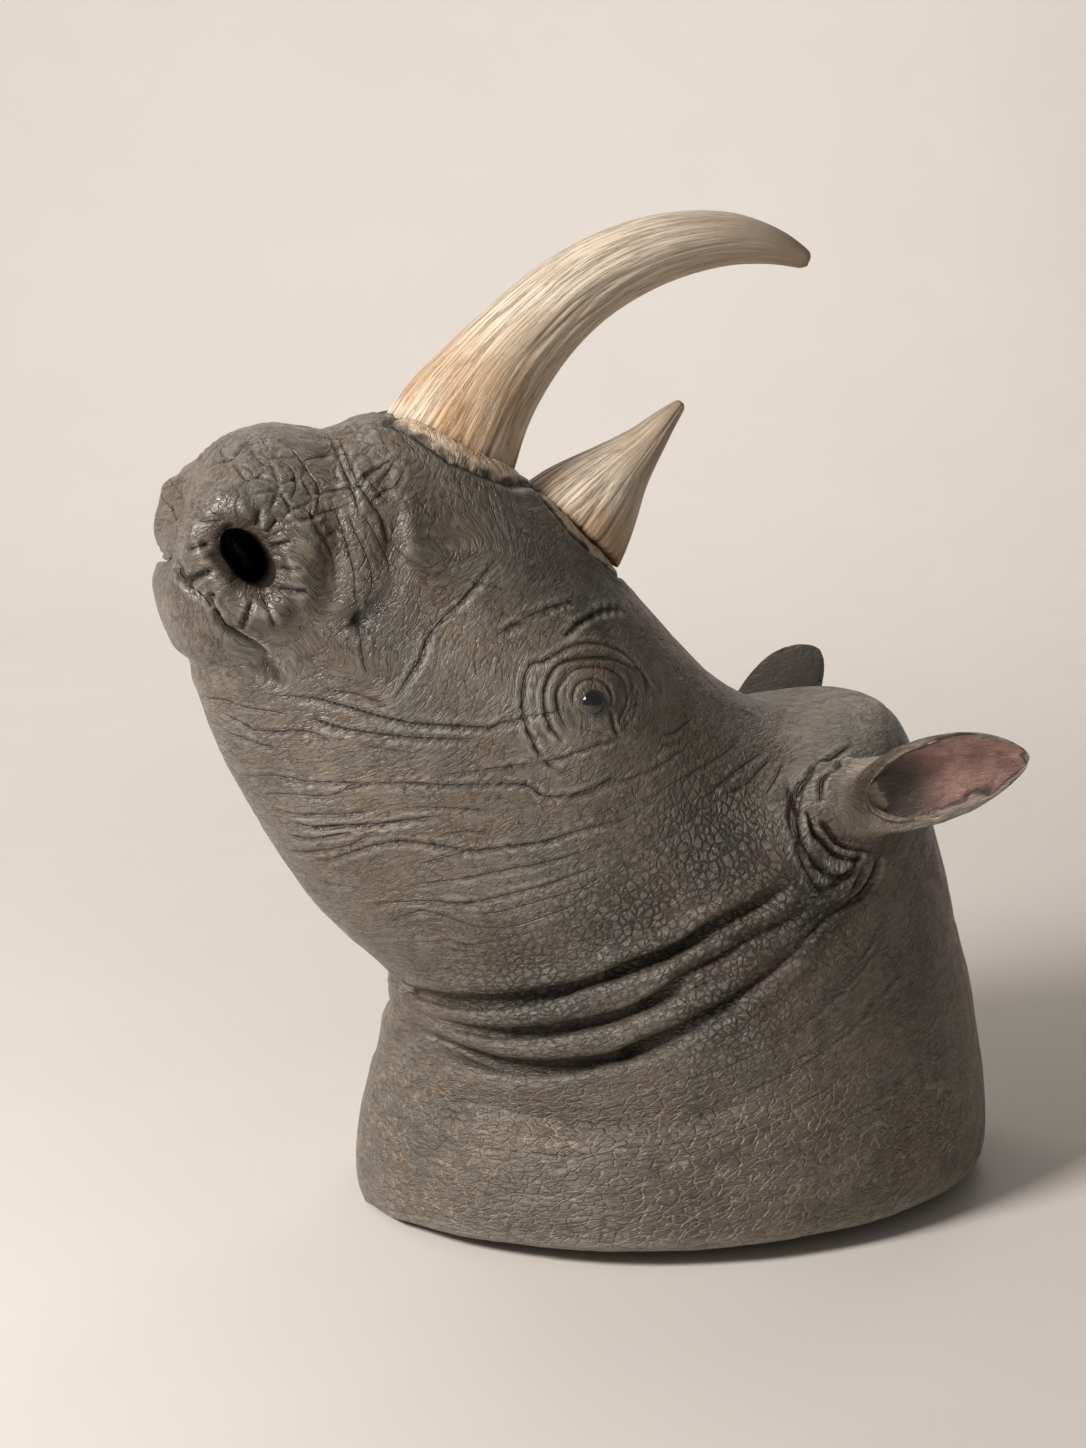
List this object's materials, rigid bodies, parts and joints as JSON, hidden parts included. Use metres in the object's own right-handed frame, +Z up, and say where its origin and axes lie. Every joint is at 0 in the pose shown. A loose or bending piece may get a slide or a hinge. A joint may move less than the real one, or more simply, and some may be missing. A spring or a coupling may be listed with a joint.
{
  "type": "decorative rhinoceros head bust",
  "caption": "Rhinoceros head and neck bust looking up, with curved front and rear horns, trumpet ears and folded skin, cut flat below to stand.",
  "frame": {"origin": "middle of the flat underside", "axes": "+Z up, -X towards the muzzle, +X towards the back of the neck, -Y towards the animal's left side"},
  "size_m": [0.8699, 0.5601, 0.9987],
  "materials": {
    "painted_skin": "hand-painted dark grey-brown, satin, with lighter brushed ridges and brown patches",
    "painted_horn": "hand-painted cream and tan, satin, browner at the root and grey-brown at the tip",
    "dark_eye": "glossy, near black"
  },
  "bodies": {
    "root": {"head": "painted_skin", "front_horn": "painted_horn", "rear_horn": "painted_horn", "eye_left": "dark_eye", "eye_right": "dark_eye"}
  },
  "joints": []
}
